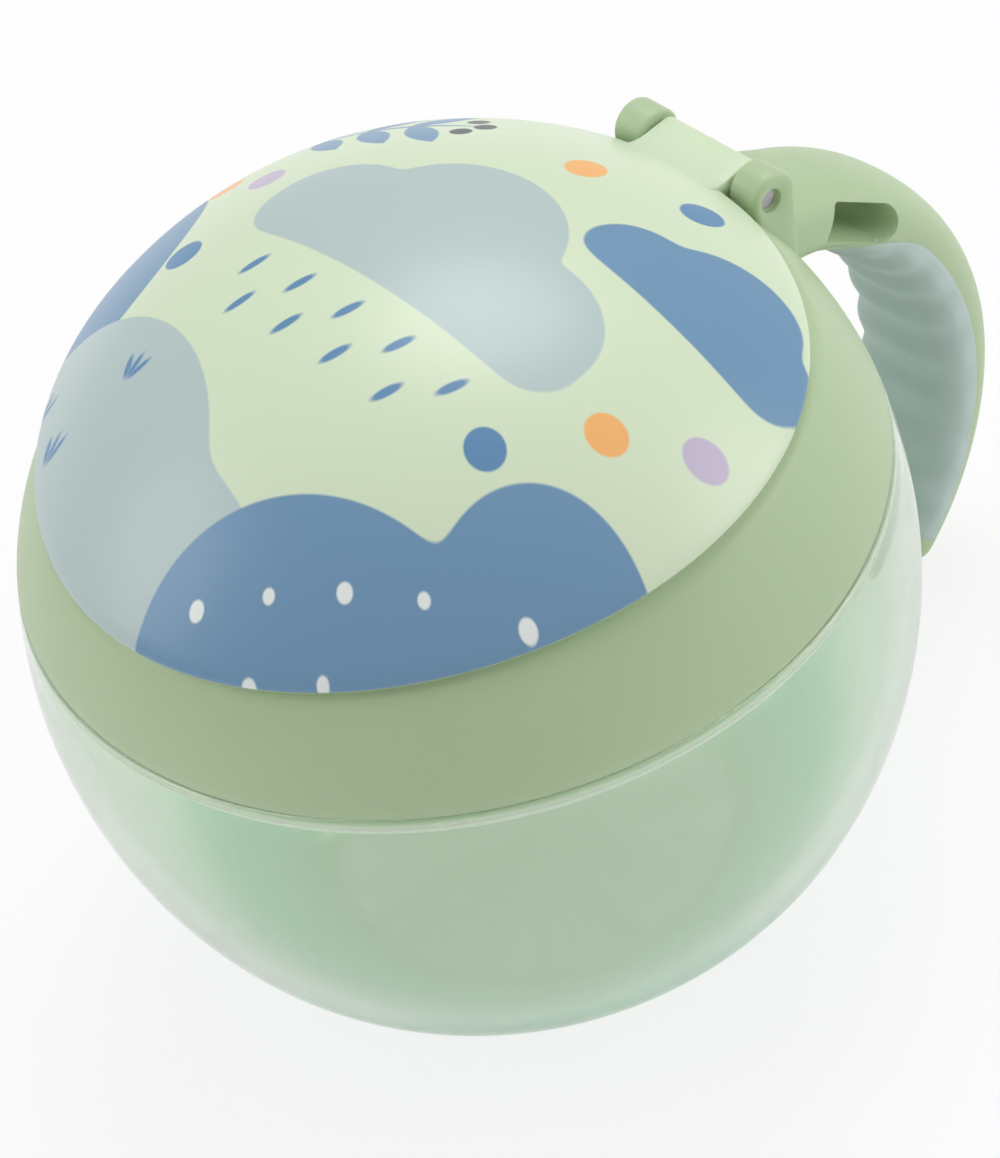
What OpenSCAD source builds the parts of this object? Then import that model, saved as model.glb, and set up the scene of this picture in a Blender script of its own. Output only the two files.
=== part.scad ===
// Toddler snack container: a round see-through bowl, a quarter-turn collar with soft hand flaps,
// a domed flip lid on a steel hinge pin, and a carrying arm with a ribbed soft grip.
// Millimetres. Origin: centre of the bowl's flat base. +Z up, hinge and arm towards +Y.

/* [Bowl] */
// Largest outer diameter of the bowl
bowl_d = 102.8; // [96:0.2:110]
// Height of the seam between bowl and collar above the table
seam_h = 56.5; // [52:0.5:62]
// Wall of the bowl
bowl_wall = 2.4; // [1.8:0.1:3.2]
// Radius of the edge around the flat base
foot_r = 14; // [11:0.5:17]
// Radius of the lower side of the bowl
haunch_r = 43.3; // [38:0.1:48]
// Radius of the upper side of the bowl
side_r = 60; // [54:0.5:66]
// Width of the shoulder that the collar covers
shoulder_w = 5.7; // [5:0.1:6.4]
// Height of the neck above the shoulder
neck_h = 6; // [5.6:0.1:7]

/* [Quick thread] */
// Height of one thread lug
lug_h = 1.6; // [1.2:0.1:1.8]
// How far a bowl lug stands out of the neck
lug_depth = 1.5; // [1:0.1:1.8]
// Arc that one lug covers, in degrees
lug_arc = 26; // [18:1:27]
// Rise of the collar in one whole turn
thread_lead = 18; // [12:1:22]

/* [Collar] */
// Height of the collar from the seam to the middle of the lid rim
collar_h = 16.6; // [16:0.2:20]
// Radius of the collar's rounded side
collar_round_r = 46; // [42:0.5:54]
// Wall of the collar
collar_wall = 2.2; // [1.8:0.1:2.6]
// Thickness of the deck that carries the flaps
deck_t = 1.8; // [1.6:0.1:2.2]
// Diameter of the hand opening in the deck
hand_hole_d = 68; // [62:0.5:69]

/* [Lid] */
// Tilt of the lid rim, hinge side high, in degrees
lid_tilt = 3.1; // [2:0.1:4]
// How far the middle of the lid lies in front of the bowl's axis
lid_forward = 2.3; // [1.8:0.1:2.8]
// How far the lid rim stands out over the collar
lid_overhang = 0.8; // [0.5:0.1:1.2]
// Height of the dome above the lid rim
dome_h = 20.6; // [17:0.2:23]
// Height of the straight band at the lid rim
rim_band = 0.8; // [0.6:0.1:1.2]
// Wall of the dome
lid_wall = 1.9; // [1.5:0.1:2.4]
// Thickness of the printed film
film_t = 0.3; // [0.2:0.05:0.4]
// Thickness of the inner cover
liner_t = 1.4; // [1.1:0.1:1.8]
// How far the plug ring reaches below the rim
plug_h = 2.4; // [1.8:0.1:2.6]
// Width of the collar's ledge that the lid rim closes on
ledge_w = 4.4; // [4:0.1:4.8]

/* [Hinge] */
// Diameter of the steel pin
pin_d = 2.3; // [2:0.05:2.5]
// Width of the lid's knuckle
knuckle_w = 13.8; // [12:0.2:16]
// Radius of the knuckle's round underside
knuckle_r = 2.9; // [2.6:0.1:3.1]
// Height of the knuckle's flat top above the pin
knuckle_top = 2.2; // [1.9:0.1:2.4]
// Thickness of one collar ear
ear_t = 4.4; // [3.6:0.1:5]
// Radius of the ear's round top
ear_r = 3.2; // [3:0.1:3.6]
// How far the middle of the ear's round top lies behind the pin
ear_back = 0.6; // [0.4:0.1:0.8]
// Distance from the lid rim back to the pin
hinge_back = 2.25; // [2.1:0.05:2.6]

/* [Arm] */
// Width of the arm
arm_w = 16.7; // [14:0.1:18]
// Thickness of the arm
arm_t = 11.1; // [9.5:0.1:12.5]
// Radius of the arm's bend, to the middle of the arm
arm_bend_r = 32.9; // [31:0.1:35]
// Depth of the middle of the bend below the seam
bend_drop = 24.4; // [23.6:0.1:25.2]
// How far the middle of the bend lies in front of the hinge pin
bend_forward = 4.9; // [4.5:0.1:5.3]
// Height above the seam at which the arm's flat root starts
root_rise = 6.9; // [6.4:0.1:7.4]
// Length of the straight part of the strap slot
slot_l = 8.5; // [7:0.5:9]
// Width of the strap slot
slot_w = 5.8; // [5.2:0.1:6.2]
// Direction of the slot's middle, seen from the middle of the bend
slot_a = 52.5; // [51.5:0.5:54]

/* [Grip] */
// Thickness of the soft grip over the arm's core
grip_t = 2.2; // [1.6:0.1:2.8]
// Where the grip starts, in degrees above the middle of the bend
grip_start = 36; // [32:1:38]
// Distance from rib to rib
rib_pitch = 5.9; // [4:0.1:7]
// Height of one rib
rib_h = 0.6; // [0.3:0.1:0.9]

/* [Flaps] */
// Thickness of the soft flaps
flap_t = 0.9; // [0.7:0.05:1.1]
// Width of the flap ring outside the fold lines
flap_border = 6.8; // [6:0.1:7.4]
// Slit between two flaps
slit_w = 0.6; // [0.4:0.1:1]
// Thickness of the clamp ring
clamp_t = 1.3; // [1:0.1:1.5]
// Thickness of the seal on the bowl rim
seal_t = 1.2; // [1:0.1:1.6]

/* [Fits] */
// Gap between flat faces that turn or lift on each other
face_gap = 0.15; // [0.1:0.05:0.25]
// Gap between the lid and what it closes on
lid_gap = 0.35; // [0.3:0.05:0.5]
// Gap beside a part that is fixed in its seat
seat_gap = 0.1; // [0.05:0.05:0.2]
// Gap beside the knuckle in its ears
hinge_gap = 0.4; // [0.3:0.05:0.5]
// Radial clearance of the pin in the knuckle
pin_play = 0.07; // [0.04:0.01:0.09]
// Height of the arm's free end above the table
floor_gap = 0.6; // [0.5:0.1:2]

/* [Hidden] */
$fn = 96;
eps = 0.01;
far = 200;

// Bowl outline: three tangent arcs, named by the slope of their normals below the horizontal
foot_a = 52;
haunch_a = 30;
foot_z = foot_r * (1 - sin(foot_a));
haunch_z = foot_z + haunch_r * (sin(foot_a) - sin(haunch_a));
widest_z = haunch_z + side_r * sin(haunch_a);
side_c = [bowl_d / 2 - side_r, widest_z];
haunch_c = [side_c[0] + (side_r - haunch_r) * cos(haunch_a), haunch_z + haunch_r * sin(haunch_a)];
foot_c = [haunch_c[0] + (haunch_r - foot_r) * cos(foot_a), foot_r];
base_r = foot_c[0];
seam_a = asin((seam_h - widest_z) / side_r);
seam_r = side_c[0] + side_r * cos(seam_a);
neck_r = seam_r - shoulder_w;
rim_z = seam_h + neck_h;

// Thread lugs: the bowl's lie above, the collar's hook under them
lug_count = 4;
lead_a = atan(thread_lead / (2 * PI * neck_r));
bowl_lug_z = rim_z - lug_h / 2 - 1.1;
collar_lug_z = bowl_lug_z - lug_h - 0.35;
lug_bore_r = neck_r + 0.4;

// Collar: its side starts this many degrees above the widest place of its round
collar_a = 12;
collar_z = seam_h + face_gap;
collar_c = [seam_r - collar_round_r * cos(collar_a), collar_z - collar_round_r * sin(collar_a)];
lid_z = seam_h + collar_h;
lid_r = collar_r_at(lid_z) + lid_overhang;
mouth_r = lid_r - ledge_w;
lid_seat_t = 3;
mouth_h = 2.2;
seal_z = rim_z + face_gap;
deck_z = seal_z + seal_t + face_gap;
flap_seat_depth = 0.8;
flap_z = deck_z + deck_t - flap_seat_depth;
flap_seat_w = 3.3;
flap_outer_r = hand_hole_d / 2 + flap_seat_w;

// Lid, in a frame that lies in the rim's plane
cap_h = dome_h - rim_band;
dome_r = (lid_r * lid_r + cap_h * cap_h) / (2 * cap_h);
dome_c = rim_band + cap_h - dome_r;
film_rim = 1;
film_r = lid_r - film_rim;
plug_r = mouth_r - lid_gap;
plug_t = 1.6;
cover_rise = 7.5;
cover_lift = 1.2;
plug_flange = 1.5;
cover_r = ((plug_r - 1) * (plug_r - 1) + cover_rise * cover_rise) / (2 * cover_rise);

// Hinge
hinge_low = 0.43;
hinge_y = -lid_forward + (lid_r + hinge_back) * cos(lid_tilt) + hinge_low * sin(lid_tilt);
hinge_z = lid_z + (lid_r + hinge_back) * sin(lid_tilt) - hinge_low * cos(lid_tilt);
ear_x = knuckle_w / 2 + hinge_gap;
ear_end = ear_x + ear_t;
ear_y = hinge_y + ear_back;
ear_reach = ear_r + ear_back;
pin_sink = 0.7;
pin_r = pin_d / 2;
knuckle_back = 2.8;
knuckle_reach = 7;
knuckle_root = 2;
knuckle_swing = norm([knuckle_back, knuckle_top]);
saddle_z = hinge_z - knuckle_swing - hinge_gap;

// Arm: one bend, from the collar to a round free end above the table
bend_top_a = 86;
tip_lap_a = 10;
arm_x = arm_w / 2;
arm_n = arm_t / 2;
arm_root_z = seam_h + root_rise;
bend_y = hinge_y - bend_forward;
bend_z = seam_h - bend_drop;
arm_face_y = ear_y + ear_r + seat_gap;
tip_slope = asin((bend_z - floor_gap - arm_n) / arm_bend_r);
tip_y = bend_y + arm_bend_r * cos(tip_slope);
tip_z = bend_z - arm_bend_r * sin(tip_slope);
tip_step = 0.05;
tenon = [9, 6, 3];
tenon_z = deck_z + 0.5;

// Grip: the arm's inner side, up to this height over its middle
grip_edge = 0.4;
grip_end = tip_slope - 4;
rib_edge = 3;
rib_root = 0.5;
slot_lift = 0.5;

// Flaps
flap_count = 8;
flap_half_a = 180 / flap_count;
fold_d = flap_outer_r - flap_border;
fold_gap = 0.75;
ring_flat = fold_d + fold_gap;
flap_tip_r = 1;

// Radius of the collar's outside at a height
function collar_r_at(z) = collar_c[0] + sqrt(pow(collar_round_r, 2) - pow(z - collar_c[1], 2));
// Points of an arc around c, from angle a0 to angle a1
function arc(c, r, a0, a1, n) =
    [for (i = [0:n]) let (a = a0 + (a1 - a0) * i / n) c + r * [cos(a), sin(a)]];
// The bowl's outline from the base's edge up to the height z, moved inwards by w
function bowl_side(w, z) = concat(
    arc(foot_c, foot_r - w, -90, -foot_a, 6),
    arc(haunch_c, haunch_r - w, -foot_a + 2, -haunch_a, 7),
    arc(side_c, side_r - w, -haunch_a + 2, asin((z - widest_z) / (side_r - w)), 14));

// A stadium section for the arm, at radius r from the bend's middle, thinned all round by w
module arm_section(r, w) {
    for (side = [-1, 1]) translate([r, side * (arm_x - arm_n)]) circle(r = arm_n - w);
    translate([r - arm_n + w, arm_n - arm_x]) square([2 * (arm_n - w), 2 * (arm_x - arm_n)]);
}

// Puts what is drawn in the rim's plane in its place
module in_lid_plane() {
    translate([0, -lid_forward, lid_z]) rotate([lid_tilt, 0, 0]) children();
}

// Turns a drawing (distance from the middle, X) around an axis along X at (y, z)
module around_x(y, z, a0, a1) {
    translate([0, y, z]) rotate(120, [1, 1, 1]) rotate([0, 0, a0])
        rotate_extrude(angle = a1 - a0) children();
}

// Extrudes a drawing of (Y, Z) along X, between x0 and x1
module along_x(x0, x1) {
    translate([x0, 0, 0]) rotate(120, [1, 1, 1]) linear_extrude(x1 - x0) children();
}

// One thread lug between two radii, tilted along the thread
module lug(r0, r1, z) {
    translate([0, 0, z]) rotate([lead_a, 0, 0]) rotate([0, 0, -lug_arc / 2])
        rotate_extrude(angle = lug_arc) translate([r0, -lug_h / 2]) square([r1 - r0, lug_h]);
}

module lugs(r0, r1, z) {
    for (i = [0:lug_count - 1]) rotate([0, 0, i * 360 / lug_count + 45]) lug(r0, r1, z);
}

module bowl() {
    edge = 0.7;
    outer = bowl_side(0, seam_h - edge);
    inner = bowl_side(bowl_wall, seam_h - bowl_wall);
    color([0.78, 0.89, 0.83, 0.6]) union() {
        rotate_extrude() difference() {
            polygon(concat([[0, 0]], outer,
                [[seam_r - edge, seam_h], [neck_r, seam_h], [neck_r, rim_z], [0, rim_z]]));
            polygon(concat([[0, bowl_wall]], inner,
                [[neck_r - bowl_wall, seam_h - bowl_wall], [neck_r - bowl_wall, rim_z + 1],
                 [0, rim_z + 1]]));
        }
        lugs(neck_r - 0.5, neck_r + lug_depth, bowl_lug_z);
    }
}

module seal_ring() {
    color("gainsboro") rotate_extrude()
        translate([neck_r - bowl_wall, seal_z]) square([bowl_wall, seal_t]);
}

// The collar's outside form as a solid, grown by g
module collar_form(g) {
    top = lid_z + (lid_r + 2) * sin(lid_tilt);
    rotate_extrude() intersection() {
        translate(collar_c) circle(r = collar_round_r + g);
        translate([0, collar_z - g]) square([far, top - collar_z + g]);
    }
}

module collar_wall_ring() {
    difference() {
        collar_form(0);
        rotate_extrude() intersection() {
            translate(collar_c) circle(r = collar_round_r - collar_wall);
            square([far, far]);
        }
    }
}

// The deck under the flaps, with a seat for the flap ring
module deck() {
    intersection() {
        collar_form(-0.3);
        rotate_extrude() polygon([
            [hand_hole_d / 2, deck_z], [seam_r, deck_z], [seam_r, deck_z + deck_t],
            [flap_outer_r + seat_gap, deck_z + deck_t], [flap_outer_r + seat_gap, flap_z],
            [hand_hole_d / 2, flap_z]]);
    }
}

module ear() {
    along_x(ear_x, ear_end) {
        translate([ear_y, hinge_z]) circle(r = ear_r);
        polygon([[ear_y - ear_r, deck_z], [ear_y - ear_r, hinge_z],
            [ear_y + ear_r, hinge_z], [ear_y + ear_r, deck_z + 0.5],
            [ear_y + ear_r - 1.2, deck_z - 1.2], [ear_y + ear_r - 2, deck_z]]);
    }
}

// The block between the ears, under the knuckle
module saddle() {
    intersection() {
        collar_form(0);
        translate([-ear_x - 1, ear_y - ear_r, deck_z])
            cube([2 * ear_x + 2, 2 * ear_r, saddle_z - deck_z]);
    }
}

module tenon_block(g) {
    translate([-tenon[0] / 2 - g, arm_face_y - tenon[1] - g, tenon_z - g])
        cube([tenon[0] + 2 * g, tenon[1] + 3, tenon[2] + 2 * g]);
}

module collar() {
    color([0.62, 0.73, 0.57]) difference() {
        union() {
            difference() {
                union() {
                    collar_wall_ring();
                    intersection() {
                        collar_form(0);
                        in_lid_plane() translate([0, 0, -lid_gap - lid_seat_t]) difference() {
                            cylinder(r = lid_r, h = lid_seat_t);
                            translate([0, 0, -1]) cylinder(r = mouth_r, h = lid_seat_t + 2);
                        }
                    }
                }
                in_lid_plane() translate([-far / 2, -far / 2, -lid_gap]) cube([far, far, far]);
                in_lid_plane() translate([0, 0, -lid_seat_t - mouth_h]) cylinder(r = mouth_r, h = far);
                along_x(-ear_x, ear_x) translate([hinge_y, hinge_z])
                    circle(r = knuckle_swing + hinge_gap);
            }
            deck();
            saddle();
            ear();
            mirror([1, 0, 0]) ear();
            intersection() {
                collar_form(-0.5);
                lugs(lug_bore_r, seam_r, collar_lug_z);
            }
        }
        along_x(-far, far) translate([hinge_y, hinge_z]) circle(r = pin_r + 0.02);
        for (side = [-1, 1])
            translate([side * (ear_end - pin_sink + 1), hinge_y, hinge_z]) rotate([0, 90, 0])
                cylinder(r = pin_r + 0.35, h = 2, center = true);
        tenon_block(seat_gap);
    }
}

module flap_ring() {
    color([0.8, 0.87, 0.8]) translate([0, 0, flap_z]) difference() {
        cylinder(r = flap_outer_r, h = flap_t + 0.2);
        rotate([0, 0, flap_half_a]) translate([0, 0, -1])
            cylinder(r = ring_flat / cos(flap_half_a), h = 4, $fn = flap_count);
    }
}

module flap_clamp_ring() {
    color([0.62, 0.73, 0.57]) rotate_extrude() translate([ring_flat / cos(flap_half_a) + 0.6,
        flap_z + flap_t + 0.2]) square([flap_outer_r - ring_flat / cos(flap_half_a) - 0.6, clamp_t]);
}

// Flap i, a wedge from its fold line to the middle
module flap_petal(i) {
    side = fold_d * tan(flap_half_a) - slit_w / 2 / cos(flap_half_a);
    tip = flap_tip_r * tan(flap_half_a);
    color([0.8, 0.87, 0.8]) rotate([0, 0, (i - 1) * 360 / flap_count])
        translate([0, 0, flap_z + 0.1]) linear_extrude(flap_t)
            polygon([[flap_tip_r + slit_w, -tip], [fold_d, -side], [fold_d, side],
                [flap_tip_r + slit_w, tip]]);
}

// The dome as a solid, in the rim's plane, cut back by w
module dome_solid(w) {
    intersection() {
        translate([0, 0, dome_c]) sphere(r = dome_r - w, $fn = 128);
        cylinder(r = lid_r - w, h = far);
    }
}

// The knuckle, in the part's frame
module knuckle() {
    x = knuckle_w / 2;
    difference() {
        along_x(-x, x) difference() {
            union() {
                translate([hinge_y, hinge_z]) circle(r = knuckle_r);
                translate([hinge_y - knuckle_reach, hinge_z]) square([knuckle_reach, knuckle_top]);
                translate([hinge_y, hinge_z]) square([knuckle_back, knuckle_top]);
            }
            translate([0, hinge_z + knuckle_top]) square([far, far]);
        }
        in_lid_plane() translate([-far / 2, -far / 2, -far])
            cube([far, far / 2 + lid_r - knuckle_root, far]);
    }
}

// Room in the lid for the ears, round their tops
module ear_room() {
    for (side = [-1, 1]) translate([side * (ear_x + ear_t / 2), hinge_y, hinge_z])
        rotate([0, 90, 0]) cylinder(r = ear_reach + hinge_gap, h = ear_t + 2 * hinge_gap, center = true);
}

module lid_dome() {
    color([0.83, 0.9, 0.78]) difference() {
        union() {
            in_lid_plane() dome_solid(0);
            knuckle();
        }
        in_lid_plane() translate([0, 0, -eps]) dome_solid(lid_wall);
        film_blank();
        ear_room();
        along_x(-far, far) translate([hinge_y, hinge_z]) circle(r = pin_r + pin_play);
    }
}

// The film's outline cut out of the dome's outer skin
module film_blank() {
    difference() {
        in_lid_plane() intersection() {
            difference() {
                translate([0, 0, dome_c]) sphere(r = dome_r + 1, $fn = 128);
                translate([0, 0, dome_c]) sphere(r = dome_r - film_t, $fn = 128);
            }
            cylinder(r = film_r, h = far);
        }
        translate([-ear_end - 2, hinge_y - ear_reach - 4, 0]) cube([2 * ear_end + 4, far, far]);
    }
}

module lid_print_film() {
    color([0.68, 0.78, 0.78]) intersection() {
        film_blank();
        in_lid_plane() translate([0, 0, dome_c]) sphere(r = dome_r, $fn = 128);
    }
}

module lid_inner_cover() {
    color([0.83, 0.9, 0.78]) in_lid_plane() intersection() {
        translate([0, 0, dome_c]) sphere(r = dome_r - lid_wall - seat_gap, $fn = 128);
        union() {
            rotate_extrude() translate([plug_r - plug_t, -plug_h]) square([plug_t, plug_h + plug_flange]);
            rotate_extrude() translate([plug_r - plug_t, 0]) square([plug_t + 3, plug_flange]);
            rotate_extrude() intersection() {
                difference() {
                    translate([0, cover_rise - cover_r + cover_lift]) circle(r = cover_r);
                    translate([0, cover_rise - cover_r + cover_lift]) circle(r = cover_r - liner_t);
                }
                square([plug_r - 0.5, far]);
            }
        }
    }
}

module hinge_pin() {
    color("silver") along_x(-ear_end + pin_sink, ear_end - pin_sink)
        translate([hinge_y, hinge_z]) circle(r = pin_r);
}

// Turns a drawing of the arm's section along the bend, between two angles
module arm_bend(a0, a1) {
    around_x(bend_y, bend_z, a0, a1) children();
}

// The arm along its bend, with a round free end
module arm_body() {
    arm_bend(-tip_slope, bend_top_a) arm_section(arm_bend_r, 0);
    around_x(tip_y, tip_z, -tip_slope - 180 - tip_lap_a, tip_lap_a - tip_slope) intersection() {
        arm_section(0, tip_step);
        translate([0, -far]) square([far, 2 * far]);
    }
}

// The slot through the arm's side: straight at the hinge end, round at the other
module strap_slot() {
    along_x(-far, far) translate([bend_y, bend_z]) rotate(slot_a)
        translate([arm_bend_r + slot_lift, 0]) rotate(-90) {
            translate([-slot_l / 2 - slot_w / 4, -slot_w / 2]) square([slot_l, slot_w]);
            translate([slot_l / 2 - slot_w / 4, 0]) circle(d = slot_w);
        }
}

// A layer on the inner side of the arm's section: from g outside the arm's surface
// to d below it, up to the given distance past the arm's middle
module grip_section(g, d, edge) {
    difference() {
        intersection() {
            arm_section(arm_bend_r, -g);
            translate([arm_bend_r - far, -far]) square([far + edge, 2 * far]);
        }
        arm_section(arm_bend_r, d);
    }
}

module handle_arm() {
    color([0.62, 0.73, 0.57]) union() {
        difference() {
            arm_body();
            arm_bend(-grip_end, grip_start) grip_section(1, grip_t, grip_edge);
            strap_slot();
            collar_form(seat_gap);
            translate([-far / 2, 0, arm_root_z]) cube([far, arm_face_y, far]);
        }
        tenon_block(0);
    }
}

module handle_grip() {
    step = rib_pitch / (arm_bend_r - arm_n) * 180 / PI;
    color([0.62, 0.7, 0.69]) union() {
        arm_bend(-grip_end, grip_start) grip_section(0, grip_t, grip_edge);
        for (a = [rib_edge - grip_end:step:grip_start - rib_edge - step / 2])
            arm_bend(a, a + step / 2) grip_section(rib_h, rib_root, -rib_root);
    }
}

bowl();
seal_ring();
collar();
flap_ring();
flap_clamp_ring();
flap_petal(1);  // flap_petal_1
flap_petal(2);  // flap_petal_2
flap_petal(3);  // flap_petal_3
flap_petal(4);  // flap_petal_4
flap_petal(5);  // flap_petal_5
flap_petal(6);  // flap_petal_6
flap_petal(7);  // flap_petal_7
flap_petal(8);  // flap_petal_8
lid_dome();
lid_print_film();
lid_inner_cover();
hinge_pin();
handle_arm();
handle_grip();
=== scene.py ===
"""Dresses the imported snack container: detailed pieces, materials, studio, camera.

Lengths are written in millimetres and turned into metres when a mesh is made. +Z is up, the
hinge and the arm are at +Y, and the bowl stands on z = 0 around the origin.
"""
import math

import bmesh
import bpy
from mathutils import Matrix, Vector


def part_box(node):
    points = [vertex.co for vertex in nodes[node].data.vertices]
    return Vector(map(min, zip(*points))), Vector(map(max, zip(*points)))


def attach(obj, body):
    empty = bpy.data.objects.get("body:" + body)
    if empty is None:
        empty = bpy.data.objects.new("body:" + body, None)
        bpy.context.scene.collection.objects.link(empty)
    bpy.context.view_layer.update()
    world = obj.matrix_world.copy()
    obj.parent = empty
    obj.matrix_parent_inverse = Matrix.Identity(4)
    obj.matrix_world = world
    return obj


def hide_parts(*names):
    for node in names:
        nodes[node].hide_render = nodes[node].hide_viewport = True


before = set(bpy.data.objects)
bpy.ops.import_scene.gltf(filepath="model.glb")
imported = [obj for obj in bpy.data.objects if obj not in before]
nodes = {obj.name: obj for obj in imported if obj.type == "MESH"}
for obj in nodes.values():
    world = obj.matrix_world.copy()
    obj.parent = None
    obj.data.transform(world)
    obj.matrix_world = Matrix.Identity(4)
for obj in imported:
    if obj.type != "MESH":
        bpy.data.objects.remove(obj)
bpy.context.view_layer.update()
MM = 0.001
TURN = 2 * math.pi


def node_box(name):
    """A CAD node's corners at rest, in millimetres."""
    low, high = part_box(name)
    return [v / MM for v in low], [v / MM for v in high]


# ---------------------------------------------------------------- driving dimensions
BOWL_HIGH = node_box("bowl")[1]
RIM_Z = BOWL_HIGH[2]
NECK_H = 6.0
SEAM_Z = RIM_Z - NECK_H
BOWL_WALL = 2.4
WIDEST_R = BOWL_HIGH[0]
FOOT_R, HAUNCH_R, SIDE_R = 14.0, 43.3, 60.0
FOOT_A, HAUNCH_A = math.radians(52), math.radians(30)

COLLAR_Z = SEAM_Z + 0.15
COLLAR_ROUND = 46.0
COLLAR_WALL = 2.2
COLLAR_A = math.radians(12)
DECK_Z, DECK_T, HAND_R = 64.0, 1.8, 34.0
RECESS_R, RECESS_DEPTH = 37.5, 0.8

LID_Z = SEAM_Z + 16.6
LID_TILT = math.radians(3.1)
LID_FORWARD = 2.3
LID_GAP = 0.35
LID_OVERHANG = 0.8
LID_EGG = 0.07
DOME_H = 20.6
RIM_BAND = 0.8
LID_WALL = 1.9
FILM_T = 0.3

PIN_LOW, PIN_HIGH = node_box("hinge_pin")
HINGE_Y = (PIN_LOW[1] + PIN_HIGH[1]) / 2
HINGE_Z = (PIN_LOW[2] + PIN_HIGH[2]) / 2
KNUCKLE_X, KNUCKLE_R = 6.9, 2.9
KNUCKLE_ROOM_R = 3.96
EAR_X0, EAR_X1 = 7.3, 11.7
EAR_R, EAR_BACK, EAR_FOOT = 3.2, 0.6, 11.5
EAR_SOFT_IN, EAR_SOFT_OUT = 0.45, 0.7
EAR_CLEARANCE = 0.3
# The sunk hole at the pin's end, as depth and radius.
PIN_HOLE = ((0.0, 1.7), (0.15, 1.5), (0.75, 1.42))

ARM_X, ARM_N = 8.35, 5.55
ARM_BEND = 32.9
BEND_Y = HINGE_Y - 4.9
BEND_Z = SEAM_Z - 24.4
ROOT_A, TIP_A = math.radians(84), -math.radians(52.07)

# ---------------------------------------------------------------- mesh detail
SHARP_DEG = 40
# In metres: points nearer than this are one, and edges shorter than that are dropped.
MERGE_DIST, TINY_EDGE = 1e-6, 1e-7
ROUND_STEPS, COLLAR_STEPS, EAR_STEPS, CUTTER_STEPS = 192, 240, 72, 64


# ---------------------------------------------------------------- mesh helpers
def add_object(name, data):
    """An object that holds the data, put into the scene."""
    obj = bpy.data.objects.new(name, data)
    bpy.context.scene.collection.objects.link(obj)
    return obj


def new_mesh(name, verts, faces):
    """A mesh from points in millimetres."""
    mesh = bpy.data.meshes.new(name)
    mesh.from_pydata([Vector(v) * MM for v in verts], [], faces)
    return mesh


def make_object(name, verts, faces, material, body, slot, replaced=()):
    """A mesh piece from points in millimetres, riding on a body."""
    mesh = new_mesh(name, verts, faces)
    mesh.validate()
    mesh.update()
    obj = add_object(name, mesh)
    clean(obj)
    shade(obj)
    mesh.materials.append(material)
    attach(obj, body)
    for node in replaced:
        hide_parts(node)
    return obj


def clean(obj):
    """Merges doubles and turns all faces outwards."""
    bm = bmesh.new()
    bm.from_mesh(obj.data)
    bmesh.ops.remove_doubles(bm, verts=bm.verts, dist=MERGE_DIST)
    bmesh.ops.dissolve_degenerate(bm, edges=bm.edges, dist=TINY_EDGE)
    bmesh.ops.recalc_face_normals(bm, faces=bm.faces)
    bm.to_mesh(obj.data)
    bm.free()


def shade(obj):
    """Smooth shading with edges sharper than the angle left crisp."""
    mesh = obj.data
    bm = bmesh.new()
    bm.from_mesh(mesh)
    limit = math.radians(SHARP_DEG)
    for edge in bm.edges:
        edge.smooth = len(edge.link_faces) == 2 and edge.calc_face_angle(0) < limit
    for face in bm.faces:
        face.smooth = True
    bm.to_mesh(mesh)
    bm.free()


def skin(rings, closed_rings=True, first=None, last=None):
    """Points and quads over rings of equal length; first and last close the ends with a point."""
    verts = [p for ring in rings for p in ring]
    n, m = len(rings[0]), len(rings)
    faces = []
    for i in range(m if closed_rings else m - 1):
        a, b = i * n, ((i + 1) % m) * n
        for j in range(n):
            k = (j + 1) % n
            faces.append((a + j, b + j, b + k, a + k))
    for point, row in ((first, 0), (last, m - 1)):
        if point is not None:
            verts.append(point)
            tip = len(verts) - 1
            faces += [(tip, row * n + j, row * n + (j + 1) % n) for j in range(n)]
    return verts, faces


def capped(rings):
    """Points and faces over a row of rings, with one flat face on each end."""
    n = len(rings[0])
    last = (len(rings) - 1) * n
    verts, faces = skin(rings, closed_rings=False)
    return verts, faces + [tuple(range(n)), tuple(last + i for i in reversed(range(n)))]


def spread(start, end, n):
    """Values from start to end in n equal steps."""
    return [start + (end - start) * i / n for i in range(n + 1)]


def angles(count):
    """A full turn in equal steps."""
    return [TURN * i / count for i in range(count)]


def circle(r, count):
    return [(r * math.cos(a), r * math.sin(a)) for a in angles(count)]


def arc(centre, r, a0, a1, n):
    """Points of an arc in a section plane, angles in radians."""
    return [(centre[0] + r * math.cos(a), centre[1] + r * math.sin(a)) for a in spread(a0, a1, n)]


def fillet(points, radii, n):
    """Rounds the corners of a closed section; radii has one value for each point."""
    out = []
    count = len(points)
    for i, (corner, r) in enumerate(zip(points, radii)):
        if not r:
            out.append(corner)
            continue
        c = Vector(corner)
        before = (Vector(points[i - 1]) - c).normalized()
        after = (Vector(points[(i + 1) % count]) - c).normalized()
        half = before.angle(after) / 2
        reach = r / math.tan(half)
        start, end = c + before * reach, c + after * reach
        middle = c + (before + after).normalized() * (r / math.sin(half))
        a0 = math.atan2(*(start - middle).yx)
        a1 = math.atan2(*(end - middle).yx)
        while a1 - a0 > math.pi:
            a1 -= TURN
        while a1 - a0 < -math.pi:
            a1 += TURN
        out += arc(middle, r, a0, a1, n)
    return out


def lathe(section_at, count):
    """Closed sections of (radius, height) points set around Z, as rings."""
    return [[(r * math.cos(a), r * math.sin(a), z) for r, z in section_at(a)] for a in angles(count)]


def pin_cylinder(x0, x1, r):
    """A closed cylinder around the hinge pin."""
    return capped([[(x, HINGE_Y + y, HINGE_Z + z) for y, z in circle(r, CUTTER_STEPS)]
                   for x in (x0, x1)])


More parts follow.
